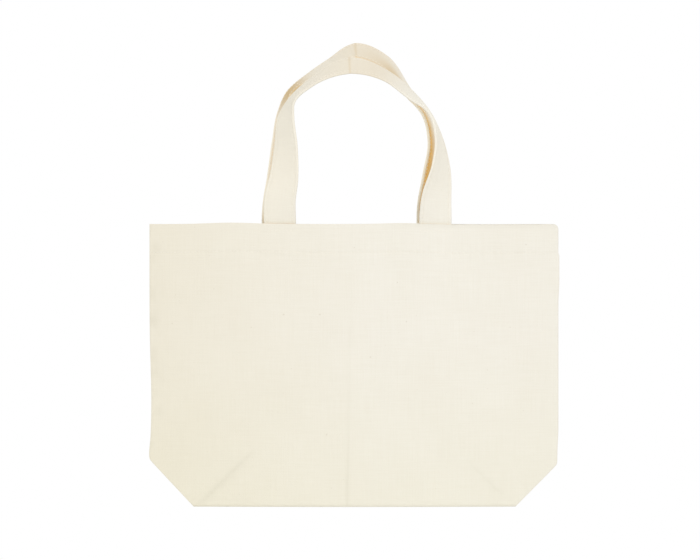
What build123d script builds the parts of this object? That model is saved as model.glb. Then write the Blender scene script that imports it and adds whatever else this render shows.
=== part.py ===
from build123d import *
import math
import os

import numpy as np

# Canvas tote bag: two bowed panels, a boxed base tucked up between them and two strap handles.
# Millimetres. +Z is up, the front faces -Y, and the origin is where a hand carries the handles.

# Bag body
bag_width = 360.0  # flat width, from side seam to side seam
bag_height = 250.0  # mouth edge to bottom fold
base_depth = 80.0  # depth of the base when it is opened out
bulge = 18.0  # how far each panel bows out at its middle
canvas = 0.8  # one ply of canvas
side_gap = 0.6  # room between the two panels at the side seams

# Clearances
ply_gap = 0.15  # between plies that are sewn together
move_gap = 0.3  # between plies that move apart

# Seams and hem
hem_depth = 27.0  # canvas turned in at the mouth
hem_stitch_drop = 25.0  # hem stitching below the mouth edge
tack_drop = 6.0  # handle stitching below the mouth edge
seam_allowance = 10.0  # width of the seam edges inside the bag
seam_ply = 0.6  # one pressed ply in a seam
corner_seam_width = 0.7  # the sewn line across a boxed corner
thread = 0.4  # how far a thread stands off the canvas
stitch_height = 0.8  # width of a sewn line

# Handles
strap_width = 28.5
strap_thickness = 2.2
handle_spacing = 136.6  # between the middles of one handle's two ends
handle_drop = 130.0  # mouth edge up to the carried edge of the front handle
back_handle_extra = 13.6  # how much higher the back handle stands
front_handle_shift = 3.2  # sewing offset to the right
back_handle_shift = 1.2
handle_gap = 2.0  # room between the two handles at the top
strap_sections = 43

# Each loop's middle line from its left end to its right one. A point gives the share of half the
# spacing, the share of the rise, and the degrees that the strap has turned there.
front_route = [
    (-1.0, 0.0, 0),
    (-1.0, 0.14, 12),
    (-0.95, 0.285, 27),
    (-0.92, 0.475, 45),
    (-0.92, 0.67, 61),
    (-0.86, 0.77, 77),
    (-0.62, 0.885, 77),
    (-0.1, 1.0, 60),
    (0.38, 0.93, 71),
    (0.69, 0.81, 75),
    (0.92, 0.705, 87),
    (1.05, 0.53, 77),
    (1.07, 0.365, 57),
    (1.02, 0.12, 26),
    (1.0, 0.0, 0),
]
back_route = [
    (-1.0, 0.0, 0),
    (-0.97, 0.255, 34),
    (-0.93, 0.485, 48),
    (-0.93, 0.625, 67),
    (-0.865, 0.745, 80),
    (-0.57, 0.855, 76),
    (-0.32, 0.925, 71),
    (0.02, 1.0, 62),
    (0.36, 0.94, 65),
    (0.66, 0.77, 74),
    (0.91, 0.63, 78),
    (1.02, 0.465, 68),
    (1.01, 0.25, 43),
    (1.0, 0.0, 0),
]

# Levels and places that follow from the sizes
half_width = bag_width / 2
half_base = base_depth / 2
corner_x = half_width - half_base
mouth_z = -handle_drop
bottom_z = mouth_z - bag_height
corner_z = bottom_z + half_base
bow_radius = (half_width**2 + bulge**2) / (2 * bulge)
hem_inner = -ply_gap - canvas
tail_inner = hem_inner - ply_gap - strap_thickness


def bow(x):
    """Distance of a panel's inner face from the middle plane, at x."""
    return side_gap / 2 + math.sqrt(bow_radius**2 - x**2) - bow_radius + bulge


def bow_reach(distance):
    """How far out to the side a panel's inner face still stands this far from the middle plane."""
    return math.sqrt(bow_radius**2 - (distance - side_gap / 2 + bow_radius - bulge) ** 2)


def bow_points(side, x_low, x_high, outset):
    """Start, middle and end of a bowed line that stands outset outside a panel's inner face."""
    stations = (x_low, (x_low + x_high) / 2, x_high)
    return [(x, side * (bow(x) + outset)) for x in stations]


base_edge = bow(corner_x) - move_gap
base_foot = base_edge - canvas
ridge_foot = ply_gap / 2
ridge_z = bottom_z + math.sqrt(half_base**2 - (base_foot - ridge_foot) ** 2)
strap_depth = bow(handle_spacing / 2) + tail_inner + strap_thickness / 2

os.makedirs("parts", exist_ok=True)


def save(built, name):
    built.part.label = name
    export_step(built.part, f"parts/{name}.step")


def bowed_ply(side, x_low, x_high, inner, thickness, z_low, z_high):
    """An upright ply that follows the bow of a panel."""
    with BuildPart() as ply:
        with BuildSketch(Plane.XY.offset(z_low)):
            with BuildLine():
                near = ThreePointArc(*bow_points(side, x_low, x_high, inner))
                far = ThreePointArc(*bow_points(side, x_low, x_high, inner + thickness))
                Line(near @ 0, far @ 0)
                Line(near @ 1, far @ 1)
            make_face()
        extrude(amount=z_high - z_low)
    return ply


def tucked_ply(side, x_low, x_high, outset):
    """A ply from the bottom fold up to the ridge of the tucked base, outset from the base's own ply."""
    with BuildPart() as ply:
        with BuildSketch(Plane.XY.offset(bottom_z)):
            with BuildLine():
                near = ThreePointArc(*bow_points(side, x_low, x_high, outset - move_gap - canvas))
                far = ThreePointArc(*bow_points(side, x_low, x_high, outset - move_gap))
                Line(near @ 0, far @ 0)
                Line(near @ 1, far @ 1)
            make_face()
        with BuildSketch(Plane.XY.offset(ridge_z)):
            with Locations(((x_low + x_high) / 2, side * (ridge_foot + outset + canvas / 2))):
                Rectangle(x_high - x_low, canvas)
        loft(ruled=True)
    return ply


def make_panel(side, name):
    """A panel with its lower corners cut off at 45 degrees."""
    ply = bowed_ply(side, -half_width, half_width, 0, canvas, bottom_z, mouth_z)
    with BuildPart() as panel:
        add(ply.part)
        with BuildSketch(Plane.XZ):
            for way in (-1, 1):
                with BuildLine():
                    Polyline(
                        (way * corner_x, bottom_z),
                        (way * half_width, bottom_z),
                        (way * half_width, corner_z),
                        close=True,
                    )
                make_face()
        extrude(amount=base_depth, both=True, mode=Mode.SUBTRACT)
    save(panel, name)


def make_hem(side, name):
    """The turned-in edge of the mouth, inside the panel."""
    reach = bow_reach(canvas + ply_gap + move_gap)
    save(bowed_ply(side, -reach, reach, hem_inner, canvas, mouth_z - hem_depth, mouth_z), name)


def make_hem_stitching(side, name):
    """The sewn line of the hem, on the outside of the panel."""
    reach = half_width - seam_allowance / 2
    low = mouth_z - hem_stitch_drop - stitch_height / 2
    save(bowed_ply(side, -reach, reach, canvas + ply_gap, thread, low, low + stitch_height), name)


def make_at_ends(side, shift, inner, thickness, z_low, z_high, name):
    """Two like pieces, one on each end of a handle."""
    middles = [shift - handle_spacing / 2, shift + handle_spacing / 2]
    plies = [
        bowed_ply(side, x - strap_width / 2, x + strap_width / 2, inner, thickness, z_low, z_high)
        for x in middles
    ]
    with BuildPart() as ends:
        for ply in plies:
            add(ply.part)
    save(ends, name)


def make_handle(side, shift, rise, route, name):
    """A strap loop whose outer edge turns back as it rises from its two ends."""
    ends_z = mouth_z + move_gap
    points = [(shift + x * handle_spacing / 2, 0, ends_z + z * rise) for x, z, turn in route]
    turns = [turn for x, z, turn in route]
    runs = [math.dist(start, end) for start, end in zip(points, points[1:])]
    places = [sum(runs[:count]) / sum(runs) for count in range(len(points))]
    middle_line = Spline(*points, tangents=[(0, 0, 1), (0, 0, -1)])
    top_depth = strap_width / 2 * math.sin(math.radians(max(turns))) + handle_gap / 2
    with BuildPart() as handle:
        for share in np.linspace(0, 1, strap_sections):
            place = middle_line @ share
            along = middle_line % share
            turn = math.radians(np.interp(share, places, turns))
            depth = strap_depth + (top_depth - strap_depth) * math.sin(math.pi * share)
            across = Vector(-along.Z, 0, along.X) * math.cos(turn) + Vector(0, 1, 0) * math.sin(turn)
            with BuildSketch(Plane((place.X, side * depth, place.Z), x_dir=across, z_dir=along)):
                Rectangle(strap_width, strap_thickness)
        loft(ruled=True)
    save(handle, name)


def make_tuck(side, way, name):
    """The triangle folded in behind a 45 degree corner."""
    start_x = corner_x + corner_seam_width / 2 + ply_gap
    end_x = bow_reach(ridge_foot + canvas + move_gap) - ply_gap
    lean = math.atan2(base_foot - ridge_foot, ridge_z - bottom_z)
    outward = Vector(0, side * math.cos(lean), math.sin(lean))
    face = Plane((0, side * ridge_foot, ridge_z), x_dir=(-side, 0, 0), z_dir=outward)
    with BuildPart() as tuck:
        with BuildSketch(face):
            with BuildLine():
                Polyline(
                    (-side * way * start_x, 0),
                    (-side * way * end_x, 0),
                    (-side * way * start_x, -half_base),
                    close=True,
                )
            make_face()
        extrude(amount=canvas)
    save(tuck, name)


def make_ear(way, name):
    """The sewn-off corner, folded in half over the ridge and lying on both halves of the base."""
    tip_lift = (ridge_z - bottom_z) * (ply_gap + canvas) / (base_edge - ridge_foot - canvas)
    tip_z = bottom_z + tip_lift
    seam_x = corner_x - corner_seam_width / 2 - ply_gap
    tip_x = seam_x - tip_lift
    apex_x = seam_x - half_base
    limits = sorted((way * seam_x, way * apex_x))
    plies = [tucked_ply(side, *limits, ply_gap + canvas) for side in (-1, 1)]
    with BuildPart() as ear:
        for ply in plies:
            add(ply.part)
        with BuildSketch(Plane.XZ):
            with BuildLine():
                Polyline(
                    (way * seam_x, tip_z),
                    (way * tip_x, tip_z),
                    (way * apex_x, ridge_z),
                    (way * seam_x, ridge_z),
                    close=True,
                )
            make_face()
        extrude(amount=base_depth, both=True, mode=Mode.INTERSECT)
    save(ear, name)


def make_corner_seam(way, name):
    """The sewn line across a boxed corner, folded up with the base."""
    limits = sorted((way * corner_x - corner_seam_width / 2, way * corner_x + corner_seam_width / 2))
    plies = [tucked_ply(side, *limits, 0) for side in (-1, 1)]
    with BuildPart() as seam:
        for ply in plies:
            add(ply.part)
    save(seam, name)


def make_side_seam(way, name):
    """The side seam's edges inside the bag, which turn in along the corner tucks at the bottom."""
    outer_x = bow_reach(seam_ply + move_gap)
    inner_x = outer_x - seam_allowance
    low_z = ridge_z + ply_gap
    top_z = mouth_z - hem_depth - ply_gap
    with BuildPart() as seam:
        with BuildSketch(Plane.XZ):
            with BuildLine():
                Polyline(
                    (way * corner_x, low_z),
                    (way * outer_x, low_z),
                    (way * outer_x, top_z),
                    (way * inner_x, top_z),
                    (way * inner_x, low_z + seam_allowance),
                    (way * corner_x, low_z + seam_allowance),
                    close=True,
                )
            make_face()
        extrude(amount=seam_ply, both=True)
    save(seam, name)


def make_bottom_seam(name):
    """The seam's edges standing up along the ridge of the tucked base."""
    with BuildPart() as seam:
        with BuildSketch(Plane.XY.offset(ridge_z + ply_gap)):
            Rectangle(2 * (corner_x - corner_seam_width), 2 * seam_ply)
        extrude(amount=seam_allowance)
    save(seam, name)


# Front and back, with the ends of their handles
for side, face_name, shift in ((-1, "front", front_handle_shift), (1, "back", back_handle_shift)):
    make_panel(side, f"{face_name}_panel")
    make_hem(side, f"{face_name}_hem")
    make_hem_stitching(side, f"{face_name}_hem_stitching")
    tail_low = mouth_z - hem_depth + ply_gap
    make_at_ends(side, shift, tail_inner, strap_thickness, tail_low, mouth_z, f"{face_name}_handle_ends")
    tack_low = mouth_z - tack_drop - stitch_height / 2
    tack_high = tack_low + stitch_height
    make_at_ends(side, shift, canvas + ply_gap, thread, tack_low, tack_high, f"{face_name}_handle_stitching")

# Handles
top_turn = math.radians(min(turn for x, z, turn in front_route if z == 1))
carried_edge = (strap_width * math.cos(top_turn) + strap_thickness * math.sin(top_turn)) / 2
front_rise = handle_drop + carried_edge
make_handle(-1, front_handle_shift, front_rise, front_route, "front_handle")
make_handle(1, back_handle_shift, front_rise + back_handle_extra, back_route, "back_handle")

# Base and corners
base_end = corner_x - corner_seam_width / 2 - ply_gap
for side, face_name in ((-1, "front"), (1, "back")):
    save(tucked_ply(side, -base_end, base_end, 0), f"base_{face_name}_half")
    for way, way_name in ((-1, "left"), (1, "right")):
        make_tuck(side, way, f"corner_tuck_{face_name}_{way_name}")
for way, way_name in ((-1, "left"), (1, "right")):
    make_ear(way, f"gusset_ear_{way_name}")
    make_corner_seam(way, f"corner_seam_{way_name}")
    make_side_seam(way, f"side_seam_{way_name}")
make_bottom_seam("bottom_seam")
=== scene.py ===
import math
from dataclasses import dataclass

import bpy
import numpy as np
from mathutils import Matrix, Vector, noise


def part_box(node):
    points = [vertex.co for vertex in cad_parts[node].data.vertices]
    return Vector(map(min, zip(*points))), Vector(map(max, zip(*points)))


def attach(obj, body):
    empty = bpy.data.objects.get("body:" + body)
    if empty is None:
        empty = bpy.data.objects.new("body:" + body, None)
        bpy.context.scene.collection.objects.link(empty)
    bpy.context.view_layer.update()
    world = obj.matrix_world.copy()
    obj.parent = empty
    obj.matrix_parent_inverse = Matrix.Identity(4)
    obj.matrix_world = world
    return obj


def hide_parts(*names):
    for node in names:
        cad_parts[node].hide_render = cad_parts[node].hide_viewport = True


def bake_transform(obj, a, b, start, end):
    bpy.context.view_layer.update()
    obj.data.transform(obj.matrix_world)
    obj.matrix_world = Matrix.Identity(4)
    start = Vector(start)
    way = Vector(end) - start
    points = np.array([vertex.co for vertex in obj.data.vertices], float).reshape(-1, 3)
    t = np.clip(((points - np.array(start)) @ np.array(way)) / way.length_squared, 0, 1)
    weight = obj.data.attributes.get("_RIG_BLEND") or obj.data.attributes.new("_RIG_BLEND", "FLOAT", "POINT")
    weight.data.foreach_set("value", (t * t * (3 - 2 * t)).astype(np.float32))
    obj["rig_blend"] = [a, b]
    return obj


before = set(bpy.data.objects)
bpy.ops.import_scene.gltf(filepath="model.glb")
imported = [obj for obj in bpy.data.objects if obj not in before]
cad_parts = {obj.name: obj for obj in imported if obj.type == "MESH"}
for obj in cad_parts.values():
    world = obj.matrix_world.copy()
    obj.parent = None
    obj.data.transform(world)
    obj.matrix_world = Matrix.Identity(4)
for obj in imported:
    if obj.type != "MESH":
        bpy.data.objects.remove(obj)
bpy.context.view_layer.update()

# Canvas tote bag: the cloth, straps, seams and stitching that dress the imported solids.
# Metres, in the frame of the solids: +Z is up and the front faces -Y.
# A height is measured up from the bottom fold, and a depth outwards from the middle plane.

# The bag's body
panel_low, panel_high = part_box("front_panel")
half_width = panel_high[0]
mouth_z = panel_high[2]
bottom_z = panel_low[2] + 0.0007
bag_height = mouth_z - bottom_z
canvas = 0.0008
half_gap = 0.0003
bulge = -panel_low[1] - canvas - half_gap
bow_radius = (half_width**2 + bulge**2) / (2 * bulge)
half_base = 0.040
corner_x = half_width - half_base
ply_gap = 0.00015
bottom_fold_radius = 0.0013
ridge_depth = 0.00012
corner_softness = 0.0012
mouth_corner_radius = 0.0046
cut_edge_round = 0.0005
foot_tint_height = 0.15

# The hem
hem_depth = 0.027
hem_line = bag_height - 0.025
hem_plies = 2 * canvas + ply_gap
tack_line = bag_height - 0.006

# The edges where the cloth turns in at the side seams and the 45 degree corners
edge_round = 0.0012
corner_round = 0.0009

# Depths of the outer face where it starts to follow the opening mouth, and where it follows fully
still_depth = 0.001
opening_depth = 0.0139

# Seam edges inside the bag
seam_allowance = 0.010
seam_plies = 0.0012

# Thread
stitch_pitch = 0.0031
stitch_length = 0.0025
thread_width = 0.00055
edge_stitch_length = 0.0024
edge_thread_width = 0.0005
overlock_pitch = 0.0017
overlock_depth = 0.004
overlock_thread_width = 0.00042

# How far the cloth's ripples, puckers, steps and fold marks stand out or sink in
wide_ripple = 0.0008
small_ripple = 0.0003
seam_pucker = 0.00022
middle_ridge = 0.0003
middle_groove = 0.00016
corner_groove = 0.0005
strap_step = 0.00022
hem_step = 0.00015
hem_groove = 0.00014
stitch_pucker = 0.00007

# Handles
strap_width = 0.0285
strap_thickness = 0.0022
handle_spacing = 0.1366
handle_drop = -mouth_z
back_handle_extra = 0.0136
handle_gap = 0.002
strap_start_gap = 0.0003
strap_seam_inset = 0.003
tail_length = hem_depth - ply_gap
tail_depth_in = 2 * ply_gap + canvas + strap_thickness / 2

# Each loop's middle line from its left end to its right one, as the solids have it apart from a flatter
# turn at the front strap's right foot: the share of half the spacing, the share of the rise, and the
# degrees that the strap has turned there.
front_route = [
    (-1.0, 0.0, 0),
    (-1.0, 0.14, 12),
    (-0.95, 0.285, 27),
    (-0.92, 0.475, 45),
    (-0.92, 0.67, 61),
    (-0.86, 0.77, 77),
    (-0.62, 0.885, 77),
    (-0.1, 1.0, 60),
    (0.38, 0.93, 71),
    (0.69, 0.81, 75),
    (0.92, 0.705, 87),
    (1.05, 0.53, 77),
    (1.07, 0.365, 57),
    (1.007, 0.12, 16),
    (1.0, 0.0, 0),
]
back_route = [
    (-1.0, 0.0, 0),
    (-0.97, 0.255, 34),
    (-0.93, 0.485, 48),
    (-0.93, 0.625, 67),
    (-0.865, 0.745, 80),
    (-0.57, 0.855, 76),
    (-0.32, 0.925, 71),
    (0.02, 1.0, 62),
    (0.36, 0.94, 65),
    (0.66, 0.77, 74),
    (0.91, 0.63, 78),
    (1.02, 0.465, 68),
    (1.01, 0.25, 43),
    (1.0, 0.0, 0),
]
top_turn = math.radians(min(turn for x, z, turn in front_route if z == 1))
carried_edge = (strap_width * math.cos(top_turn) + strap_thickness * math.sin(top_turn)) / 2
front_rise = handle_drop + carried_edge


@dataclass
class Face:
    """One of the bag's two faces, with what tells it from the other."""

    name: str
    side: int  # -1 at the front, 1 at the back
    seed: float
    handle_shift: float
    rise: float
    route: list
    low_edge: float  # how far the mouth edge sits low on the right
    strap_crease: float  # x of the fold mark across the strap
    twist_shade_marks: list  # painted shade where the straps lie close at their twist: x, reach along and across it, strength
    behind: int  # 1 for the strap that lies behind the other: painted shade on its inside, painted highlight on its rims


# Small helpers


def ease(low, high, value):
    """0 below low, 1 above high, and smooth between them."""
    share = np.clip((value - low) / (high - low), 0, 1)
    return share * share * (3 - 2 * share)


def hump(value, reach):
    return np.exp(-((value / reach) ** 2))


def drift(seed, x, y):
    """Soft unevenness between about -1 and 1."""
    flat = [noise.noise((a, b, seed)) for a, b in zip(np.ravel(x), np.ravel(y))]
    return np.reshape(flat, np.shape(x))


def unit(vectors):
    return vectors / np.linalg.norm(vectors, axis=-1, keepdims=True)


def run_lengths(points):
    """How far along a line each of its points lies."""
    return np.concatenate([[0], np.cumsum(np.linalg.norm(np.diff(points, axis=0), axis=1))])


def number_grid(points, first=0):
    """Vertex numbers for a grid of points."""
    rows, columns = points.shape[:2]
    return first + np.arange(rows * columns).reshape(rows, columns)


def make_piece(name, points, polygons, finish, weave=None, marks=None):
    """A smooth mesh object, with its weave map in metres of cloth and the marks on its points."""
    mesh = bpy.data.meshes.new(name)
    mesh.from_pydata(np.asarray(points, float).reshape(-1, 3).tolist(), [], polygons)
    if weave is not None:
        corners = np.empty(len(mesh.loops), dtype=int)
        mesh.loops.foreach_get("vertex_index", corners)
        cloth_map = mesh.uv_layers.new(name="weave")
        cloth_map.uv.foreach_set("vector", np.asarray(weave, float).reshape(-1, 2)[corners].ravel())
    for label, values in (marks or {}).items():
        mesh.attributes.new(label, "FLOAT", "POINT").data.foreach_set("value", np.ravel(values))
    mesh.polygons.foreach_set("use_smooth", [True] * len(mesh.polygons))
    mesh.materials.append(finish)
    piece = bpy.data.objects.new(name, mesh)
    bpy.context.collection.objects.link(piece)
    return piece


def grid_polygons(index, flip=False):
    """Quads over a grid of vertex numbers. Rows run down and columns to the right, seen from outside."""
    quads = np.stack([index[:-1, :-1], index[1:, :-1], index[1:, 1:], index[:-1, 1:]], axis=-1)
    quads = quads.reshape(-1, 4)
    return (quads[:, ::-1] if flip else quads).tolist()


def thicken(piece, thickness, plies=None, round_edge=0.0):
    """Gives a cloth its thickness on the inner side, and rounds its cut or folded edge."""
    solid = piece.modifiers.new("thickness", "SOLIDIFY")
    solid.thickness = thickness
    solid.offset = -1
    if plies is not None:
        group = piece.vertex_groups.new(name="plies")
        for vertex, share in enumerate(np.ravel(plies)):
            group.add([vertex], float(share), "REPLACE")
        solid.vertex_group = group.name
    if round_edge:
        soft_edge = piece.modifiers.new("edge", "BEVEL")
        soft_edge.width = round_edge
        soft_edge.segments = 3
        soft_edge.limit_method = "ANGLE"
        soft_edge.angle_limit = math.radians(55)


def finish_piece(piece, nodes, body=None, bend=None):
    """Hides the solids that a piece stands for, and sets what it moves with."""
    if nodes:
        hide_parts(*nodes)
    if bend:
        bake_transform(piece, *bend)
    else:
        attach(piece, body)
    return piece


# Finishes


def add_node(tree, kind, inputs=None, **settings):
    node = tree.nodes.new(kind)
    for name, value in settings.items():
        setattr(node, name, value)
    for name, value in (inputs or {}).items():
        if isinstance(value, bpy.types.NodeSocket):
            tree.links.new(value, node.inputs[name])
        else:
            node.inputs[name].default_value = value
    return node


def made(tree, kind, inputs=None, **settings):
    """A new node's first output."""
    return add_node(tree, kind, inputs, **settings).outputs[0]


def reckon(tree, operation, *values):
    """A Math node's result."""
    return made(tree, "ShaderNodeMath", dict(enumerate(values)), operation=operation)


def times(tree, value, factor):
    return reckon(tree, "MULTIPLY", value, factor)


def carried(tree, value, start, stop, at_start, at_stop):
    """A value that runs from one limit to another, carried over to two other limits."""
    return made(tree, "ShaderNodeMapRange", {"Value": value, 1: start, 2: stop, 3: at_start, 4: at_stop})


def mark_on(tree, label):
    """A mark on the points of a cloth or strap."""
    return add_node(tree, "ShaderNodeAttribute", attribute_name=label).outputs["Fac"]


def tint(tree, share, low, high):
    """A colour between two, by share."""
    node = add_node(tree, "ShaderNodeMix", data_type="RGBA")
    for socket, value in zip((node.inputs[0], node.inputs[6], node.inputs[7]), (share, low, high)):
        if isinstance(value, bpy.types.NodeSocket):
            tree.links.new(value, socket)
        else:
            socket.default_value = value
    return node.outputs[2]


def new_finish(name):
    finish = bpy.data.materials.new(name)
    finish.use_nodes = True
    tree = finish.node_tree
    return finish, tree, tree.nodes["Principled BSDF"]


def set_surface(surface, values):
    for name, value in values.items():
        surface.inputs[name].default_value = value


def stretched_noise(tree, place, across, along, detail=2.0):
    """Noise that is fine across the yarns and long along them, with sizes in metres."""
    scaled = made(tree, "ShaderNodeMapping", {"Vector": place, "Scale": (1 / across, 1 / along, 1)})
    grain = {"Vector": scaled, "Scale": 1.0, "Detail": detail, "Roughness": 0.55}
    return made(tree, "ShaderNodeTexNoise", grain)


def seed_specks(tree, place, spacing, size, share):
    """A mask of small round flecks, about one to each cell of the spacing."""
    even = {"Vector": place, "Scale": 1 / spacing}
    cells = add_node(tree, "ShaderNodeTexVoronoi", even, voronoi_dimensions="2D").outputs
    pick = add_node(tree, "ShaderNodeSeparateColor", {"Color": cells["Color"]}).outputs
    reach = times(tree, pick[1], size / spacing)
    inside = carried(tree, cells["Distance"], times(tree, reach, 0.4), reach, 1.0, 0.0)
    return times(tree, inside, reckon(tree, "LESS_THAN", pick[0], share))


def paint_fold_shade(tree, colour, fold_shade_tone):
    """Painted shade: darkens the cloth along its creases, folds and puckers."""
    return tint(tree, times(tree, mark_on(tree, "fold_shade"), 0.3), colour, fold_shade_tone)


def paint_hollow_shade(tree, colour, reach, open_from):
    """Painted shade: warms and darkens the tone where ambient occlusion finds cloth close to cloth, sooner
    where it is marked as shaded inside; a painted highlight pales it where marked.
    """
    shaded_from = reckon(tree, "MULTIPLY_ADD", mark_on(tree, "shade_inside"), 0.35, open_from)
    shaded_full = reckon(tree, "SUBTRACT", shaded_from, 0.5)
    around = add_node(tree, "ShaderNodeAmbientOcclusion", {"Distance": reach}, samples=12)
    hidden = carried(tree, around.outputs["AO"], shaded_from, shaded_full, 0.0, 1.0)
    colour = tint(tree, hidden, colour, painted_hollow_shade)
    return tint(tree, mark_on(tree, "painted_highlight"), colour, painted_highlight_tone)


def paint_left_shade(tree, colour):
    """Painted shade: the canvas darker and yellower towards its left side, where less light falls."""
    place = add_node(tree, "ShaderNodeTexCoord").outputs["Object"]
    across = made(tree, "ShaderNodeSeparateXYZ", {"Vector": place})
    return tint(tree, carried(tree, across, -0.20, 0.02, 0.36, 0.0), colour, painted_left_shade)


def tint_towards_foot(tree, colour):
    """Canvas tinted a little yellower towards its foot, where the cloth is marked as low."""
    return tint(tree, times(tree, mark_on(tree, "low"), 0.17), colour, foot_tint)


def yarn_wave(tree, place, wander, pitch):
    """The rise and fall of the yarns, one to each pitch."""
    return reckon(tree, "SINE", times(tree, reckon(tree, "ADD", place, wander), math.pi / pitch))


def canvas_finish(name, reach, open_from, fold_shade_tone):
    """Unbleached plain-weave cotton canvas: yarns, slubs, cloudy tone and flecks of cotton seed, with
    painted shade towards its left side, in creases and hollows, and painted highlights where marked.
    """
    finish, tree, surface = new_finish(name)
    place = made(tree, "ShaderNodeUVMap", uv_map="weave")
    wander = stretched_noise(tree, place, 0.004, 0.004)
    wander = times(tree, reckon(tree, "SUBTRACT", wander, 0.5), 0.0006)
    split = add_node(tree, "ShaderNodeSeparateXYZ", {"Vector": place}).outputs
    warp = yarn_wave(tree, split[0], wander, warp_pitch)
    weft = yarn_wave(tree, split[1], wander, weft_pitch)
    over = times(tree, times(tree, warp, weft), 0.35)
    warp_top = times(tree, reckon(tree, "ABSOLUTE", warp), reckon(tree, "ADD", over, 0.65))
    weft_top = times(tree, reckon(tree, "ABSOLUTE", weft), reckon(tree, "SUBTRACT", 0.65, over))
    yarns = reckon(tree, "MAXIMUM", warp_top, weft_top)
    warp_slub = stretched_noise(tree, place, 0.0011, 0.035)
    weft_slub = stretched_noise(tree, place, 0.028, 0.0012)
    slubs = reckon(tree, "ADD", warp_slub, weft_slub)
    clouds = stretched_noise(tree, place, 0.055, 0.07, 3.0)
    tone = reckon(tree, "ADD", times(tree, yarns, 0.35), times(tree, slubs, 0.45))
    tone = reckon(tree, "ADD", tone, times(tree, clouds, 0.45))
    tone = reckon(tree, "SUBTRACT", tone, 0.32)
    colour = paint_left_shade(tree, tint(tree, tone, deep_cotton, pale_cotton))
    colour = tint_towards_foot(tree, colour)
    large_seeds = seed_specks(tree, place, 0.034, 0.0011, 0.5)
    small_seeds = seed_specks(tree, place, 0.013, 0.0005, 0.3)
    flecks = reckon(tree, "ADD", large_seeds, small_seeds)
    colour = tint(tree, times(tree, flecks, 0.17), colour, seed_brown)
    colour = paint_hollow_shade(tree, paint_fold_shade(tree, colour, fold_shade_tone), reach, open_from)
    height = reckon(tree, "ADD", yarns, times(tree, slubs, 0.5))
    yarn_bump = made(tree, "ShaderNodeBump", {"Strength": 0.55, "Distance": 0.00022, "Height": height})
    tree.links.new(colour, surface.inputs["Base Color"])
    tree.links.new(yarn_bump, surface.inputs["Normal"])
    set_surface(surface, {"Roughness": 0.92, "Specular IOR Level": 0.18, "Sheen Weight": 0.12})
    set_surface(surface, {"Sheen Roughness": 0.55, "Sheen Tint": (1.0, 0.97, 0.9, 1)})
    return finish


def thread_finish(name, light, shade):
    """Spun cotton thread, with a fine twist along it."""
    finish, tree, surface = new_finish(name)
    place = add_node(tree, "ShaderNodeTexCoord").outputs["Object"]
    fibres = made(tree, "ShaderNodeTexNoise", {"Vector": place, "Scale": 4200.0, "Detail": 3.0})
    uneven = made(tree, "ShaderNodeTexNoise", {"Vector": place, "Scale": 90.0, "Detail": 2.0})
    tone = reckon(tree, "ADD", times(tree, fibres, 0.6), times(tree, uneven, 0.4))
    twist_bump = made(tree, "ShaderNodeBump", {"Strength": 0.4, "Distance": 0.0001, "Height": fibres})
    tree.links.new(tint(tree, tone, shade, light), surface.inputs["Base Color"])
    tree.links.new(twist_bump, surface.inputs["Normal"])
    set_surface(surface, {"Roughness": 0.75, "Sheen Weight": 0.15, "Sheen Roughness": 0.5})
    return finish


pale_cotton = (0.915, 0.895, 0.83, 1)
deep_cotton = (0.82, 0.785, 0.69, 1)
warp_pitch = 0.00072
weft_pitch = 0.00086
# Painted shade: the tone that creases, folds and puckers on the body are darkened towards.
painted_fold_tone = (0.50, 0.475, 0.36, 1)
# Painted shade: the orange-brown tone that the straps' fold mark and twist marks are darkened towards.
painted_strap_fold_tone = (0.60, 0.39, 0.11, 1)
# Painted shade: the warm tone that hollows between cloth are tinted towards.
painted_hollow_shade = (0.98, 0.55, 0.08, 1)
# Painted highlight: the pale tone that the straps' rims and legs are lifted towards.
painted_highlight_tone = (1.0, 0.94, 0.80, 1)
# Painted shade towards the left side.
painted_left_shade = (0.78, 0.71, 0.52, 1)
foot_tint = (0.80, 0.775, 0.51, 1)
seed_brown = (0.34, 0.24, 0.12, 1)
natural_canvas = canvas_finish("natural_canvas", 0.004, 0.4, painted_fold_tone)
strap_canvas = canvas_finish("strap_canvas", 0.030, 0.55, painted_strap_fold_tone)
seam_canvas = canvas_finish("seam_edge_canvas", 0.004, 0.4, painted_fold_tone)
cotton_thread = thread_finish("cotton_thread", (0.93, 0.90, 0.83, 1), (0.85, 0.81, 0.71, 1))


# The bag's two faces

# Painted shade where the back strap lies in the front strap's shadow, at the left shoulder and the top
# right.
back_twist_shade = [
    (-0.056, 0.017, 0.028, 2.5),
    (0.016, 0.022, 0.040, 0.35),
    (0.040, 0.024, 0.012, 1.9),
    (0.066, 0.024, 0.012, 1.9),
]
# Painted shade on the front strap next to the back strap's edge.
front_twist_shade = [(0.022, 0.018, 0.040, 0.35)]
front = Face("front", -1, 3.7, 0.0032, front_rise, front_route, 0.0005, -0.004, front_twist_shade, 0)
back_rise = front_rise + back_handle_extra
back = Face("back", 1, 8.2, 0.0012, back_rise, back_route, 0.0, 0.0013, back_twist_shade, 1)
faces = (front, back)


# The shape of the cloth


def bow(x):
    """Depth of a panel's inner face."""
    return half_gap + np.sqrt(bow_radius**2 - np.square(x)) - bow_radius + bulge


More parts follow.
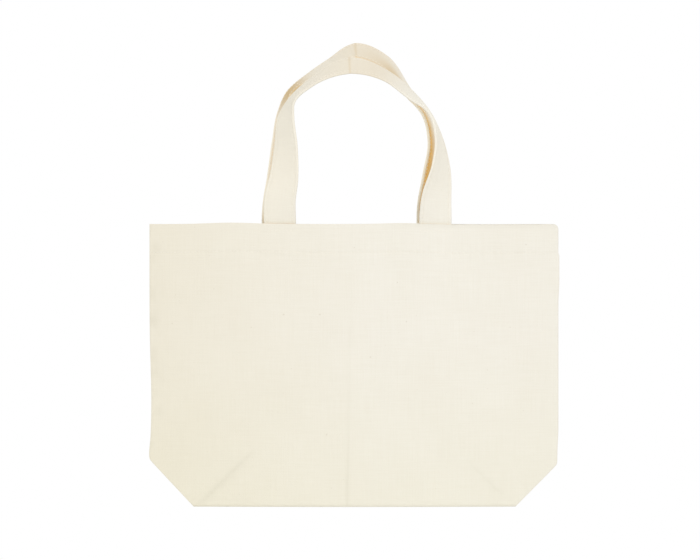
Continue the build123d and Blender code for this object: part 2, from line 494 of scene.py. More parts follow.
def edge_x(way, height):
    """How far out the cloth reaches on the left (-1) or the right (1), at a height."""
    if way < 0:
        waist = 0.0016 * hump(height - 0.092, 0.045)
        swell = 0.001 * hump(height - 0.047, 0.010)
        seam = half_width - waist + swell
        corner = corner_x + 0.001 + 0.946 * height
    else:
        in_round = np.clip(height - bag_height + mouth_corner_radius, 0, mouth_corner_radius)
        rounded = mouth_corner_radius - np.sqrt(mouth_corner_radius**2 - in_round**2)
        hem_pull = 0.0008 * ease(hem_line - 0.003, hem_line, height)
        seam = half_width + 0.0008 * ease(0.180, 0.198, height) - rounded - hem_pull
        seam = seam - 0.0009 * (1 - ease(0.045, 0.070, height))
        corner = corner_x + 0.002 + height
    return (seam + corner - np.sqrt((seam - corner) ** 2 + corner_softness**2)) / 2


def mouth_drop(face, x):
    """How far the mouth edge hangs below its level: low on the right, drawn up beside the handles."""
    right = ease(0.072, 0.090, x) * (1 - ease(0.160, 0.176, x))
    drawn_up = 0.0011 * hump(x + 0.108, 0.026) + 0.0007 * hump(x - 0.043, 0.018)
    wave = 0.0002 * drift(face.seed + 5, x / 0.05, np.zeros_like(x))
    return face.low_edge * right - drawn_up + wave + 0.0007


def crease_x(height):
    """The fold mark down the middle of the bag, which leans a little."""
    return -0.0062 + 0.0035 * height / 0.217


def corner_crease(way, x, height):
    """The crease that runs up from the lower corner towards the middle: how strongly its groove and its
    painted shade show.
    """
    start = corner_x - 0.0025 if way < 0 else corner_x
    off_line = (way * x - start + height) / math.sqrt(2)
    if way < 0:
        strength = ease(0.0, 0.004, height) * (1 - ease(0.036, 0.056, height))
    else:
        strength = 0.5 * ease(0.006, 0.014, height) * (1 - ease(0.030, 0.044, height))
    return strength * np.exp(-np.abs(off_line) / 0.0022)


def middle_crease(height):
    """How strongly the fold mark down the middle shows."""
    return 1 - 0.55 * ease(0.02, 0.07, height) - 0.3 * ease(0.08, 0.18, height)


def body_fold_shade(face, x, height):
    """Painted shade along the middle crease, the corner creases, the bottom fold, the mouth edge and the
    puckers by the left seam.
    """
    middle = 0.36 * middle_crease(height) * hump(x - crease_x(height), 0.0016)
    corners = 0.5 * (corner_crease(-1, x, height) + corner_crease(1, x, height))
    bottom = 0.5 * hump(height, 0.0018)
    mouth = 0.36 * ease(0.02, 0.05, x) * hump(bag_height - height, 0.0024)
    seam = (1 - ease(0.004, 0.015, half_width + x)) * ease(0.045, 0.06, height)
    puckers = 0.5 * seam * np.clip(drift(face.seed + 3, x / 0.009, height / 0.010), 0, 1)
    return np.clip(middle + corners + bottom + mouth + puckers, 0, 1)


def strap_place(face, way):
    return face.handle_shift + way * handle_spacing / 2


def relief(face, x, height):
    """What stands out of or sinks into the smooth bow: ripples, puckers, fold marks, hem and straps."""
    to_seam = half_width - np.abs(x)
    slack = ease(0.0, 0.055, to_seam) * ease(0.0, 0.035, height)
    slack = slack * (1 - 0.6 * ease(hem_line - 0.02, hem_line, height))
    level = wide_ripple * drift(face.seed, x / 0.085, height / 0.11)
    level = level + small_ripple * drift(face.seed + 1, x / 0.034, height / 0.055)
    level = level * slack
    seam_pull = ease(0.001, 0.006, to_seam) * (1 - ease(0.008, 0.026, to_seam)) * np.where(x < 0, 2, 1)
    level = level + seam_pucker * seam_pull * drift(face.seed + 2, x / 0.02, height / 0.011)
    off_middle = x - crease_x(height)
    crease = middle_ridge * np.exp(-np.abs(off_middle) / 0.005)
    crease = crease - middle_groove * hump(off_middle, 0.0009)
    level = level + middle_crease(height) * crease
    hem_edge = bag_height - hem_depth
    in_hem = ease(hem_edge - 0.001, hem_edge + 0.001, height)
    for way in (-1, 1):
        level = level - corner_groove * corner_crease(way, x, height)
        across = np.abs(x - strap_place(face, way)) - strap_width / 2
        level = level + strap_step * in_hem * (1 - ease(-0.0008, 0.0008, across))
    level = level + hem_step * ease(hem_line - 0.0012, hem_line + 0.0006, height)
    level = level - hem_groove * hump(height - hem_line, 0.0011)
    pucker = np.sin(2 * math.pi * x / (2 * stitch_pitch))
    return level + stitch_pucker * pucker * hump(height - hem_line, 0.004)


def face_depth(face, x, height):
    """Depth of the cloth's outer face, apart from its rounded edge."""
    return bow(np.clip(np.abs(x), 0, half_width)) + canvas + relief(face, x, height)


def hung_height(face, x, height):
    """A height on the flat cloth, moved down near the mouth where the edge hangs low."""
    return height - mouth_drop(face, x) * ease(0.12, bag_height, height)


def fold_in(depth, inset, height):
    """The outer face's depth where it rounds in to a side seam or over a 45 degree corner."""
    at_seam = ease(half_base - 0.005, half_base + 0.003, height)
    drop = at_seam * (depth - 0.0001) + (1 - at_seam) * np.minimum(corner_round, (depth - 0.0001) / 2)
    across = at_seam * edge_round + (1 - at_seam) * corner_round
    share = np.clip(1 - inset / across, 0, 1)
    return depth - drop * (1 - np.sqrt(1 - share**2))


def ridge_height(foot_depth):
    """Height of the bottom seam, where the half of the base reaches the middle plane."""
    return np.sqrt(half_base**2 - (foot_depth - ridge_depth) ** 2)


def base_depth_at(foot_depth, height):
    """Depth of the outer face of the tucked base."""
    share = (height - bottom_fold_radius) / (ridge_height(foot_depth) - bottom_fold_radius)
    return foot_depth + (ridge_depth - foot_depth) * np.clip(share, 0, 1)


def foot_depth(face, x):
    """Depth of the base's outer face where it leaves the bottom fold."""
    return face_depth(face, x, np.full_like(x, bottom_fold_radius)) - 2 * bottom_fold_radius


def to_place(face, x, depth, height):
    return np.stack([x, face.side * depth, bottom_z + height], axis=-1)


def cloth_rows():
    """Heights of the cloth's rows from the mouth down, closer together at the hem and the corners."""
    corner_rows = np.linspace(bottom_fold_radius, 0.057, 44)
    even = np.concatenate([corner_rows, np.linspace(0.059, bag_height, 92)])
    hem_edge = bag_height - hem_depth
    close = [hem_edge - 0.0002, hem_edge + 0.0002, bag_height - 0.0006]
    close += list(hem_line + np.array([-0.0012, -0.0006, 0.0, 0.0006, 0.0012]))
    kept = [height for height in even if min(abs(height - row) for row in close) > 0.0006]
    return np.array(sorted(kept + close + [bag_height], reverse=True))


def cloth_columns():
    """Share of the half width and inset from the edge of each column, from left to right."""
    even = np.linspace(-1, 1, 175)
    beside_crease = np.array([0.0005, 0.0011]) / half_width
    over_corner = np.linspace(0.466, 0.788, 29)
    inner = np.unique(np.concatenate([even, beside_crease, -beside_crease, over_corner, -over_corner]))
    inner = inner[np.concatenate([[True], np.diff(inner) > 0.0008])]
    insets = np.array([0.0, 0.00012, 0.0004, 0.0008])
    share = np.concatenate([-np.ones(4), inner, np.ones(4)])
    inset = np.concatenate([insets, np.full(len(inner), edge_round), insets[::-1]])
    return share, inset


def lay_tuck(face, way, heights, edge_index, first):
    """The triangle folded in behind a 45 degree corner: its points, weave map and polygons."""
    turns = np.radians([30, 60, 90])
    run = np.linspace(0, 1, 9)[1:]
    corner = foot_depth(face, np.array([corner_x]))[0]
    points, weave = [], []
    for height in heights:
        edge = edge_x(way, height)
        depth = face_depth(face, np.array([way * edge]), np.array([height]))[0]
        drop = min(corner_round, (depth - 0.0001) / 2)
        inner_x = edge - corner_round
        inner_depth = depth - 2 * drop
        end_depth = base_depth_at(corner, height)
        rounded_x = edge - corner_round * (1 - np.cos(turns))
        rounded_depth = depth - drop - drop * np.sin(turns)
        x = np.concatenate([rounded_x, inner_x + (corner_x - inner_x) * run])
        depths = np.concatenate([rounded_depth, inner_depth + (end_depth - inner_depth) * run])
        points.append(to_place(face, way * x, depths, np.full_like(x, height)))
        weave.append(np.stack([way * (corner_x + height) + 0 * x, x - corner_x], axis=-1))
    points = np.array(points)
    index = np.concatenate([edge_index[:, None], number_grid(points, first)], axis=1)
    flip = (way < 0) != (face.side > 0)
    return points.reshape(-1, 3), np.array(weave).reshape(-1, 2), grid_polygons(index, flip)


def make_cloth(face):
    """A panel with its half of the base and its two corner tucks, all one piece of canvas."""
    heights = cloth_rows()
    share, inset = cloth_columns()
    rows = heights[:, None]
    edge = np.where(share < 0, edge_x(-1, rows), edge_x(1, rows))
    x = share * (edge - inset) + crease_x(rows) * (1 - np.abs(share))
    height = rows + 0 * x
    flat_depth = face_depth(face, x, height)
    depth = fold_in(flat_depth, inset + 0 * x, height)
    panel = to_place(face, x, depth, hung_height(face, x, height))
    panel_weave = np.stack([x, height], axis=-1)

    # The fold keeps to the 45 degree edges down to the bottom, then draws in to the base's width.
    foot_x = x[-1]
    foot = flat_depth[-1] - 2 * bottom_fold_radius
    fold_turns = np.radians([25, 55, 90, 125, 155, 180])[:, None]
    fold_depth = depth[-1] + (foot - depth[-1]) * (1 - np.cos(fold_turns)) / 2
    fold_height = bottom_fold_radius * (1 - np.sin(fold_turns))
    panel_height = np.where(fold_turns < math.pi / 2, fold_height, 0)
    fold_edge = np.where(share < 0, edge_x(-1, panel_height), edge_x(1, panel_height))
    fold_edge = fold_edge + (corner_x - fold_edge) * np.clip(-np.cos(fold_turns), 0, 1)
    fold_x = foot_x * fold_edge / edge[-1]
    fold = to_place(face, fold_x, fold_depth, fold_height + 0 * fold_depth)
    fold_run = bottom_fold_radius * (1 - fold_turns)

    climb = np.linspace(0, 1, 18)[1:, None]
    base_height = bottom_fold_radius + climb * (ridge_height(foot) - bottom_fold_radius)
    base = to_place(face, fold_x[-1] + 0 * base_height, foot + (ridge_depth - foot) * climb, base_height)
    base_run = fold_run[-1] - climb * half_base

    points = np.concatenate([panel, fold, base])
    index = number_grid(points)
    points = points.reshape(-1, 3)
    polygons = grid_polygons(index, face.side > 0)
    below = np.concatenate([fold_run, base_run])
    low_weave = np.stack([foot_x + 0 * below, below + 0 * foot_x], axis=-1)
    weave = np.concatenate([panel_weave, low_weave]).reshape(-1, 2)

    in_hem = ease(bag_height - hem_depth - 0.0003, bag_height - hem_depth + 0.0003, height)
    room = np.maximum(flat_depth - 0.0002, canvas)
    panel_plies = np.minimum(canvas + (hem_plies - canvas) * in_hem, room) / hem_plies
    plies = np.concatenate([panel_plies.ravel(), np.full(len(below) * len(share), canvas / hem_plies)])
    # Painted shade along the bottom fold.
    bottom_fold_shade = np.where(fold_turns < 2, 0.5, 0) + 0 * fold_x
    fold_shade = np.concatenate([body_fold_shade(face, x, height), bottom_fold_shade, 0 * base[..., 0]])

    low_rows = np.flatnonzero(heights <= half_base)
    for way, column in ((-1, 0), (1, -1)):
        tuck = lay_tuck(face, way, heights[low_rows], index[low_rows, column], len(points))
        points = np.concatenate([points, tuck[0]])
        weave = np.concatenate([weave, tuck[1]])
        # One small face closes the corner, from the end of the fold to the foot of the tuck.
        fold_end = index[len(heights) - 1:len(heights) + len(fold) - 1, column]
        tuck_foot = len(points) - 1 - np.arange(len(tuck[0]) // len(low_rows))
        corner_point = np.concatenate([fold_end, tuck_foot]).tolist()
        polygons += tuck[2] + [corner_point if way * face.side < 0 else corner_point[::-1]]
        plies = np.concatenate([plies, np.full(len(tuck[0]), canvas / hem_plies)])
        fold_shade = np.concatenate([fold_shade.ravel(), np.zeros(len(tuck[0]))])

    low = 1 - np.clip((points[:, 2] - bottom_z) / foot_tint_height, 0, 1)
    marks = {"fold_shade": fold_shade, "low": low}
    cloth = make_piece(f"{face.name}_cloth", points, polygons, natural_canvas, weave, marks)
    thicken(cloth, hem_plies, plies, cut_edge_round)
    nodes = [
        f"{face.name}_panel",
        f"{face.name}_hem",
        f"base_{face.name}_half",
        f"corner_tuck_{face.name}_left",
        f"corner_tuck_{face.name}_right",
    ]
    return finish_piece(cloth, nodes, bend=mouth_bend(face, 0.0))


def mouth_bend(face, stand_off):
    """How a piece that stands off the cloth's outer face follows the mouth as it opens."""
    seam_side = (0, face.side * (still_depth + stand_off), 0)
    middle_side = (0, face.side * (opening_depth + stand_off), 0)
    return ("bag", face.name, seam_side, middle_side)


# Stitching


def stitch_tree():
    """Geometry Nodes that set a stitch at even steps along a sewn line."""
    tree = bpy.data.node_groups.new("stitch_row", "GeometryNodeTree")
    shared = tree.interface
    shared.new_socket("Geometry", in_out="OUTPUT", socket_type="NodeSocketGeometry")
    shared.new_socket("Geometry", in_out="INPUT", socket_type="NodeSocketGeometry")
    for name in ("Pitch", "Stitch Length", "Thread Width"):
        shared.new_socket(name, in_out="INPUT", socket_type="NodeSocketFloat")
    shared.new_socket("Seed", in_out="INPUT", socket_type="NodeSocketInt")
    shared.new_socket("Thread", in_out="INPUT", socket_type="NodeSocketMaterial")
    given = tree.nodes.new("NodeGroupInput").outputs
    line = made(tree, "GeometryNodeMeshToCurve", {"Mesh": given["Geometry"]})
    even = {"Curve": line, "Length": given["Pitch"]}
    steps = made(tree, "GeometryNodeResampleCurve", even, mode="LENGTH")
    along, facing = [
        made(tree, "GeometryNodeInputNamedAttribute", {"Name": label}, data_type="FLOAT_VECTOR")
        for label in ("along", "facing")
    ]
    wander = made(
        tree,
        "FunctionNodeRandomValue",
        {0: (-0.09, -0.09, -0.09), 1: (0.09, 0.09, 0.09), "Seed": given["Seed"]},
        data_type="FLOAT_VECTOR",
    )
    aim = made(tree, "ShaderNodeVectorMath", {0: along, 1: wander}, operation="ADD")
    turn = made(
        tree,
        "FunctionNodeAxesToRotation",
        {"Primary Axis": aim, "Secondary Axis": facing},
        primary_axis="X",
        secondary_axis="Z",
    )
    bead = made(tree, "GeometryNodeMeshUVSphere", {"Segments": 8, "Rings": 6, "Radius": 0.5})
    size = made(
        tree,
        "ShaderNodeCombineXYZ",
        {"X": given["Stitch Length"], "Y": given["Thread Width"], "Z": given["Thread Width"]},
    )
    stitch = made(tree, "GeometryNodeTransform", {"Geometry": bead, "Scale": size})
    laid = {"Points": steps, "Instance": stitch, "Rotation": turn}
    row = made(tree, "GeometryNodeInstanceOnPoints", laid)
    real = made(tree, "GeometryNodeRealizeInstances", {"Geometry": row})
    sewn = made(tree, "GeometryNodeSetMaterial", {"Geometry": real, "Material": given["Thread"]})
    tree.links.new(sewn, tree.nodes.new("NodeGroupOutput").inputs[0])
    return tree


stitch_rows = stitch_tree()


def sew(name, lines, pitch=stitch_pitch, length=stitch_length, width=thread_width, seed=1):
    """Stitches along lines, each given as points, the stitch's direction and the way the face looks."""
    points = np.concatenate([line[0] for line in lines])
    starts = np.cumsum([0] + [len(line[0]) for line in lines])
    runs = [(i, i + 1) for low, high in zip(starts, starts[1:]) for i in range(low, high - 1)]
    mesh = bpy.data.meshes.new(name)
    mesh.from_pydata(points.tolist(), runs, [])
    for place, label in ((1, "along"), (2, "facing")):
        values = np.concatenate([line[place] for line in lines])
        mesh.attributes.new(label, "FLOAT_VECTOR", "POINT").data.foreach_set("vector", values.ravel())
    guide = bpy.data.objects.new(f"{name}_line", mesh)
    bpy.context.collection.objects.link(guide)
    row = guide.modifiers.new("stitches", "NODES")
    row.node_group = stitch_rows
    given = {
        "Pitch": pitch,
        "Stitch Length": length,
        "Thread Width": width,
        "Seed": seed,
        "Thread": cotton_thread,
    }
    for socket in stitch_rows.interface.items_tree:
        if socket.name in given:
            row[socket.identifier] = given[socket.name]
    sewn = bpy.data.meshes.new_from_object(guide.evaluated_get(bpy.context.evaluated_depsgraph_get()))
    bpy.data.objects.remove(guide)
    for attribute in [a for a in sewn.attributes if a.name in ("along", "facing")]:
        sewn.attributes.remove(attribute)
    sewn.name = name
    sewn.polygons.foreach_set("use_smooth", [True] * len(sewn.polygons))
    piece = bpy.data.objects.new(name, sewn)
    bpy.context.collection.objects.link(piece)
    return piece


def along_line(points):
    return unit(np.gradient(points, axis=0))


def sew_across_face(face, x_low, x_high, height, lift):
    """A sewn line on the outside of a face, level with the mouth edge."""
    x = np.linspace(x_low, x_high, max(3, round((x_high - x_low) / 0.003)))
    level = np.full_like(x, height)
    points = to_place(face, x, face_depth(face, x, level) + lift, hung_height(face, x, level))
    facing = np.tile([0.0, face.side, 0.0], (len(x), 1))
    return points, along_line(points), facing


def make_hem_stitching(face):
    """The hem's sewn row, and the short rows that tack the handle ends at the mouth edge."""
    lift = -thread_width * 0.1
    reach = half_width - 0.004
    hem_path = sew_across_face(face, -reach, reach, hem_line, lift)
    hem_row = sew(f"{face.name}_hem_thread", [hem_path], seed=2)
    finish_piece(hem_row, [f"{face.name}_hem_stitching"], bend=mouth_bend(face, lift))
    ends = []
    for way in (-1, 1):
        middle = strap_place(face, way)
        inside = strap_width / 2 - 0.0015
        ends.append(sew_across_face(face, middle - inside, middle + inside, tack_line, lift))
    tacks = sew(f"{face.name}_handle_tack_thread", ends, seed=3)
    finish_piece(tacks, [f"{face.name}_handle_stitching"], bend=mouth_bend(face, lift))
    return hem_row, tacks


# Handles


def smooth_through(places, values, slopes_at_ends, steps):
    """A smooth curve through values at places, read at steps."""
    slopes = np.gradient(values, places, axis=0)
    slopes[0], slopes[-1] = slopes_at_ends
    left = np.clip(np.searchsorted(places, steps, side="right") - 1, 0, len(places) - 2)
    gap = (places[left + 1] - places[left])[:, None]
    share = (steps - places[left])[:, None] / gap
    rest = 1 - share
    return (
        values[left] * (1 + 2 * share) * rest**2
        + slopes[left] * gap * share * rest**2
        + values[left + 1] * (1 + 2 * rest) * share**2
        - slopes[left + 1] * gap * rest * share**2
    )


def strap_sections(face):
    """Middle points, directions across and off the strap, and lengths along it, tails included."""
    start_z = mouth_z + strap_start_gap
    table = np.array(face.route, float)
    knot_x = face.handle_shift + table[:, 0] * handle_spacing / 2
    knots = np.stack([knot_x, start_z + table[:, 1] * face.rise], axis=-1)
    places = run_lengths(knots)
    steps = np.linspace(0, places[-1], 190)
    line = smooth_through(places, knots, ((0, 1), (0, -1)), steps)
    turn = smooth_through(places, table[:, 2:], (0, 0), steps)[:, 0]
    share = steps / places[-1]
    strap_depth = bow(handle_spacing / 2) - tail_depth_in
    top_depth = strap_width / 2 * math.sin(math.radians(table[:, 2].max())) + handle_gap / 2
    depth = strap_depth + (top_depth - strap_depth) * np.sin(math.pi * share)
    loop = np.stack([line[:, 0], face.side * depth, line[:, 1]], axis=-1)
    tail_z = np.linspace(mouth_z - tail_length, start_z - 0.002, 14)
    left_tail = np.stack([0 * tail_z + loop[0, 0], 0 * tail_z + loop[0, 1], tail_z], axis=-1)
    right_tail = np.stack([0 * tail_z + loop[-1, 0], 0 * tail_z + loop[-1, 1], tail_z[::-1]], axis=-1)
    middle = np.concatenate([left_tail, loop, right_tail])
    turn = np.radians(np.concatenate([0 * tail_z, turn, 0 * tail_z]))[:, None]
    along = along_line(middle)
    flat_across = unit(np.stack([-along[:, 2], 0 * along[:, 0], along[:, 0]], axis=-1))
    across = flat_across * np.cos(turn) + np.array([0.0, 1.0, 0.0]) * np.sin(turn)
    off = unit(np.cross(along, across))
    return middle, across, off, run_lengths(middle)


def strap_outline():
    """The strap's section: two faces dented along their sewn lines, and two rounded folds."""
    half = strap_width / 2
    thick = strap_thickness / 2
    flat = half - thick
    row = flat - strap_seam_inset + thick
    face_run = np.array([-flat, -row - 0.0012, -row - 0.0005, -row, -row + 0.0005, -row + 0.0012])
    face_run = np.concatenate([face_run, np.linspace(-row + 0.003, row - 0.003, 9), -face_run[::-1]])
    level = thick * (1 - 0.22 * hump(np.abs(face_run) - row, 0.0008))
    bend = np.radians([60, 30, 0, -30, -60])
    fold = np.stack([flat + thick * np.cos(bend), thick * np.sin(bend)], axis=-1)
    upper = np.stack([face_run, level], axis=-1)
    return np.concatenate([upper, fold, -upper, -fold])


def on_panel_curve(face, points, middle):
    """Bends the sewn-in end of a strap to the curve of the panel it lies on."""
    held = 1 - ease(mouth_z + 0.002, mouth_z + 0.028, points[..., 2])
    reach = np.clip(np.abs(points[..., 0]), 0, half_width)
    lean = bow(reach) - bow(np.clip(np.abs(middle[..., 0]), 0, half_width))
    points[..., 1] += face.side * held * lean
    return points


def strap_bend(face):
    """The strap turns over the mouth edge where it leaves the hem."""
    return (face.name, f"{face.name}_handle", (0, 0, mouth_z - 0.001), (0, 0, mouth_z + 0.014))


def make_handle(face):
    """A strap of folded canvas from one sewn-in end over the loop to the other, and its stitching."""
    middle, across, off, length = strap_sections(face)
    outline = strap_outline()
    low_down = np.where(middle[:, 2] > mouth_z + face.rise * 0.5, 0, 1)
    mark = np.argmin(np.abs(middle[:, 0] - face.strap_crease) + low_down)
    from_mark = length - length[mark]
    kink = 0.0006 * hump(from_mark, 0.0016) - 0.0003 * hump(from_mark, 0.0006)
    sway = 0.00035 * drift(face.seed + 9, length / 0.035, 0 * length)
    wide = 1 + 0.012 * drift(face.seed + 11, length / 0.05, 0 * length)
    shift = (kink + sway)[:, None, None]
    points = middle[:, None] + across[:, None] * outline[None, :, :1] * wide[:, None, None]
    points = points + off[:, None] * (outline[None, :, 1:] + shift)
    points = on_panel_curve(face, points, middle[:, None] + 0 * points)
    index = number_grid(points)
    ring = np.concatenate([index, index[:, :1]], axis=1)
    polygons = grid_polygons(ring, flip=True) + [index[0].tolist(), index[-1, ::-1].tolist()]
    weave = np.stack(np.broadcast_arrays(outline[None, :, 0], length[:, None]), axis=-1)
    # Painted shade: a dark line at the fold mark across the strap, a broad darkening around it, and the
    # twist marks' shade.
    fold_shade = 0.6 * hump(from_mark, 0.0011)[:, None] + 0 * points[..., 0]
    fold_shade = fold_shade + 0.5 * hump(from_mark, 0.045)[:, None]
    for place, reach, spread, strength in face.twist_shade_marks:
        twisted = length[np.argmin(np.abs(middle[:, 0] - place) + low_down)]
        inner_side = 1 - ease(spread - 0.020, spread, outline[None, :, 0])
        fold_shade = fold_shade + strength * hump(length - twisted, reach)[:, None] * inner_side
    on_legs = 1 - ease(0.68, 0.80, (middle[:, 2] - mouth_z) / face.rise)
    # Painted highlight: the rims of the strap behind are paled, and the legs of the front strap a little.
    to_rim = strap_width / 2 - np.abs(outline[:, 0])
    rim_band = 1 - ease(0.0010, 0.0027, to_rim)
    near_mouth = 1 - ease(0.0, 0.05, middle[:, 2] - mouth_z)
    # Painted shade on the inside face of the strap behind, more on the legs and near the mouth.
    inside = (outline[None, :, 1] > 0) * (1 + 0.3 * on_legs + 0.1 * near_mouth)[:, None]
    leg_highlight = 0.25 * (on_legs * (1 - near_mouth))[:, None]
    marks = {
        "fold_shade": fold_shade,
        "painted_highlight": face.behind * on_legs[:, None] * rim_band[None] + (1 - face.behind) * leg_highlight,
        "shade_inside": face.behind * inside,
    }
    strap = make_piece(f"{face.name}_handle_strap", points, polygons, strap_canvas, weave, marks)
    nodes = [f"{face.name}_handle", f"{face.name}_handle_ends"]
    finish_piece(strap, nodes, bend=strap_bend(face))

    shown = np.flatnonzero(middle[:, 2] > mouth_z + 0.0015)
    lines = []
    for way in (-1, 1):
        for outer in (-1, 1):
            row = way * (strap_width / 2 - strap_seam_inset)
            lift = outer * strap_thickness / 2 * 0.86
            line = middle + across * row * wide[:, None] + off * (lift + kink + sway)[:, None]
            line = on_panel_curve(face, line, middle)[shown]
            lines.append((line, along_line(line), outer * off[shown]))
    thread_name = f"{face.name}_handle_edge_thread"
    edge_rows = sew(thread_name, lines, length=edge_stitch_length, width=edge_thread_width, seed=4)
    finish_piece(edge_rows, [], bend=strap_bend(face))
    return strap, edge_rows


# Seams inside the bag


def overlock(name, edge, inward, facing):
    """Slanted stitches over a raw edge, on both of its faces."""
    along = along_line(edge)
    lines = []
    for way in (-1, 1):
        middle = edge + inward * overlock_depth / 2 + way * facing * seam_plies * 0.55
        lines.append((middle, unit(inward + way * 0.35 * along), way * facing))
    return sew(name, lines, overlock_pitch, overlock_depth * 1.1, overlock_thread_width, seed=5)


def make_seam_edges(name, points, flat, flip):
    """A seam's raw edges as one strip of cloth, overlocked along the free side, which ends each row."""
    polygons = grid_polygons(number_grid(points), flip)
    seam = make_piece(f"{name}_edges", points, polygons, seam_canvas, flat)
    thicken(seam, seam_plies)
    finish_piece(seam, [name], body="bag")
    edge = points[:, -1] + np.array([0.0, seam_plies / 2, 0.0])
    inward = unit(points[:, -3] - points[:, -1])
    facing = np.tile([0.0, 1.0, 0.0], (len(edge), 1))
    finish_piece(overlock(f"{name}_overlock", edge, inward, facing), [], body="bag")


def down_and_in(x, height, run):
    """A line down the side of the bag, then level to where the base begins."""
    level_x = x[-1] + (corner_x - x[-1]) * run
    return np.stack([np.append(x, level_x), np.append(height, 0 * run + height[-1])], axis=-1)


def make_side_seam(way, name):
    """The side seam's raw edges, which turn in along the corner tucks at the bottom."""
    top = bag_height - hem_depth - 0.0012
    low = half_base + 0.0005
    rise = np.linspace(top, low + seam_allowance, 60)
    outer_rise = np.linspace(top, low, 60)
    run = np.linspace(0, 1, 14)[1:]
    inside_edge = 0.0026
    outer = down_and_in(edge_x(way, outer_rise) - inside_edge, outer_rise, run)
    inner = down_and_in(edge_x(way, rise) - inside_edge - seam_allowance, rise, run)
    steps = np.linspace(0, 1, 7)[None, :, None]
    flat = outer[:, None] * (1 - steps) + inner[:, None] * steps
    curl = 0.0011 * drift(4.0 + way, flat[..., 0] / 0.03, flat[..., 1] / 0.022) * steps[..., 0] ** 1.5
    depth = seam_plies / 2 + curl
    points = np.stack([way * flat[..., 0], -depth, bottom_z + flat[..., 1]], axis=-1)
    make_seam_edges(name, points, flat, way > 0)


def make_bottom_seam(name):
    """The bottom seam's raw edges, standing up along the ridge of the tucked base."""
    reach = corner_x - 0.0007
    x = np.linspace(-reach, reach, 120)[:, None]
    steps = np.linspace(0, 1, 6)[None]
    foot = np.array([foot_depth(face, x[:, 0]) for face in faces]).max(axis=0)[:, None]
    height = ridge_height(foot) + 0.0009 + steps * seam_allowance
    curl = 0.0012 * drift(6.0, x / 0.03 + 0 * steps, 0 * x + steps) * steps**1.5
    points = np.stack([x + 0 * steps, -seam_plies / 2 + curl, bottom_z + height], axis=-1)
    make_seam_edges(name, points, np.stack([x + 0 * steps, height], axis=-1), True)


def on_base(face, x, height, lift):
    """A place on the inside of the tucked base."""
    depth = base_depth_at(foot_depth(face, x), height) + canvas + lift
    return to_place(face, x, depth, height)


def make_ear(way, name):
    """The sewn-off corner triangle, folded over the ridge and lying on both halves of the base."""
    seam_x = corner_x - 0.0006
    low = 0.0055
    rows = []
    flat = []
    share = np.linspace(0, 1, 13)
    for face in faces:
        top = ridge_height(foot_depth(face, np.array([way * seam_x])))[0]
        climb = np.linspace(low, top, 16)
        for height in climb if face is front else climb[::-1][1:]:
            inner_x = seam_x - height
            x = way * (seam_x + (inner_x - seam_x) * share)
            rows.append(on_base(face, x, np.full_like(x, height), 0.0002))
            flat.append(np.stack([x, np.full_like(x, face.side * (top - height))], axis=-1))
    points = np.array(rows)
    polygons = grid_polygons(number_grid(points), way < 0)
    ear = make_piece(f"{name}_cloth", points, polygons, seam_canvas, np.array(flat))
    thicken(ear, canvas)
    return finish_piece(ear, [name], body="bag")


def make_corner_seam(way, name):
    """The sewn line across a boxed corner, folded up with the base."""
    lines = []
    for face in faces:
        top = ridge_height(foot_depth(face, np.array([corner_x])))[0]
        height = np.linspace(0.004, top - 0.001, 14)
        x = np.full_like(height, way * (corner_x - 0.0004))
        points = on_base(face, x, height, 0.0001)
        facing = np.tile([0.0, face.side, 0.3], (len(height), 1))
        lines.append((points, along_line(points), unit(facing)))
    return finish_piece(sew(f"{name}_thread", lines, seed=6), [name], body="bag")


# The studio


def studio_world():
    """A white room to the camera, and plain soft light to the bag."""
    world = bpy.data.worlds.new("white_room")
    bpy.context.scene.world = world
    world.use_nodes = True
    tree = world.node_tree
    tree.nodes.clear()
    path = add_node(tree, "ShaderNodeLightPath").outputs
    seen = reckon(tree, "MAXIMUM", path["Is Camera Ray"], path["Is Glossy Ray"])
    seen = reckon(tree, "MAXIMUM", seen, path["Is Transmission Ray"])
    room = made(tree, "ShaderNodeBackground", {"Color": (1, 1, 1, 1), "Strength": 1.0})
    light = made(tree, "ShaderNodeBackground", {"Color": (1, 0.99, 0.97, 1), "Strength": 0.82})
    both = made(tree, "ShaderNodeMixShader", {0: seen, 1: light, 2: room})
    tree.links.new(both, add_node(tree, "ShaderNodeOutputWorld").inputs["Surface"])


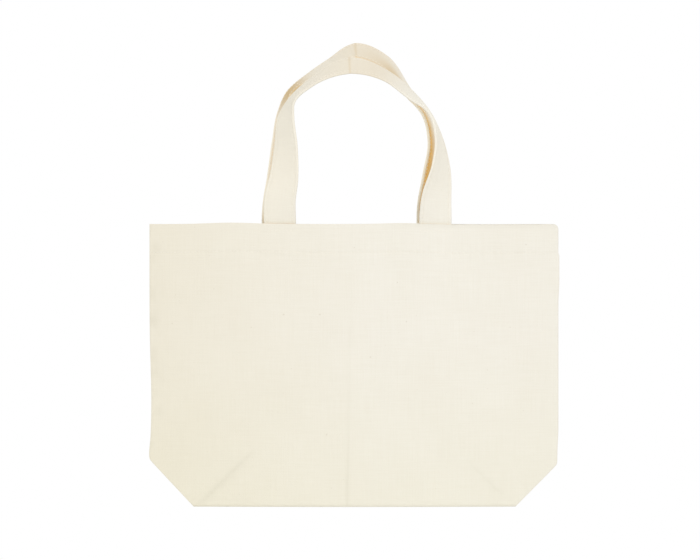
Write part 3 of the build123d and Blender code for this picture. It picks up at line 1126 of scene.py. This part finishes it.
def studio_floor():
    """A pale round floor under the hanging bag, which fades out into the white room."""
    radius = 1.0
    drop = 0.13
    turns = np.linspace(0, 2 * math.pi, 97)[:-1]
    level = np.full_like(turns, bottom_z - drop)
    rim = np.stack([radius * np.cos(turns), radius * np.sin(turns), level], axis=-1)
    finish, tree, surface = new_finish("pale_floor")
    place = add_node(tree, "ShaderNodeTexCoord").outputs["Object"]
    flat = made(tree, "ShaderNodeVectorMath", {0: place, 1: (1, 1, 0)}, operation="MULTIPLY")
    out = add_node(tree, "ShaderNodeVectorMath", {0: flat}, operation="LENGTH").outputs["Value"]
    fading = {0: out, 1: 0.4 * radius, 2: 0.72 * radius}
    fade = made(tree, "ShaderNodeMapRange", fading, interpolation_type="SMOOTHSTEP")
    pale = (0.95, 0.95, 0.95, 1)
    set_surface(surface, {"Base Color": pale, "Roughness": 0.9, "Specular IOR Level": 0.1})
    clear = made(tree, "ShaderNodeBsdfTransparent")
    both = made(tree, "ShaderNodeMixShader", {0: fade, 1: surface.outputs[0], 2: clear})
    tree.links.new(both, tree.nodes["Material Output"].inputs["Surface"])
    make_piece("floor", rim, [list(range(len(rim)))], finish)


def soft_box(name, place, aim, size, power, colour):
    lamp = bpy.data.lights.new(name, "AREA")
    lamp.size = size
    lamp.energy = power
    lamp.color = colour
    box = bpy.data.objects.new(name, lamp)
    box.location = place
    box.rotation_euler = (Vector(aim) - Vector(place)).to_track_quat("-Z", "Y").to_euler()
    bpy.context.collection.objects.link(box)


def camera_as_photographed():
    """Level with the bag and square to its front, through a long lens."""
    frame_width = 0.6162
    middle = Vector((-0.0035, 0.0, -0.18))
    lens = bpy.data.cameras.new("camera")
    lens.lens = 400
    distance = frame_width * lens.lens / lens.sensor_width
    camera = bpy.data.objects.new("camera", lens)
    camera.location = middle - Vector((0, distance, 0))
    camera.rotation_euler = (math.radians(90), 0, 0)
    bpy.context.collection.objects.link(camera)
    bpy.context.scene.camera = camera


def set_studio():
    studio_world()
    studio_floor()
    middle = (0, 0, (mouth_z + bottom_z) / 2)
    soft_box("key_box", (0.8, -1.3, 0.65), middle, 1.1, 5.4, (1, 1, 1))
    soft_box("fill_box", (-0.9, -1.2, 0.4), middle, 1.1, 3.1, (1, 0.965, 0.90))
    soft_box("top_box", (0.1, -0.5, 1.2), (0, 0, mouth_z), 1.0, 0.6, (1, 0.95, 0.80))
    soft_box("back_box", (0.3, 2.4, 1.0), middle, 1.8, 9, (1, 0.99, 0.98))
    camera_as_photographed()
    bpy.context.scene.view_settings.view_transform = "Standard"


set_studio()

for way, way_name in ((-1, "left"), (1, "right")):
    make_ear(way, f"gusset_ear_{way_name}")
    make_corner_seam(way, f"corner_seam_{way_name}")
    make_side_seam(way, f"side_seam_{way_name}")
make_bottom_seam("bottom_seam")

# A panel is cut as one rectangle: the face, its half of the base and the turned-in hem. The corner
# squares that are sewn off as ears are left out of its area.
for face in faces:
    cloth = make_cloth(face)
    sewn_rows = make_hem_stitching(face)
    strap, edge_rows = make_handle(face)
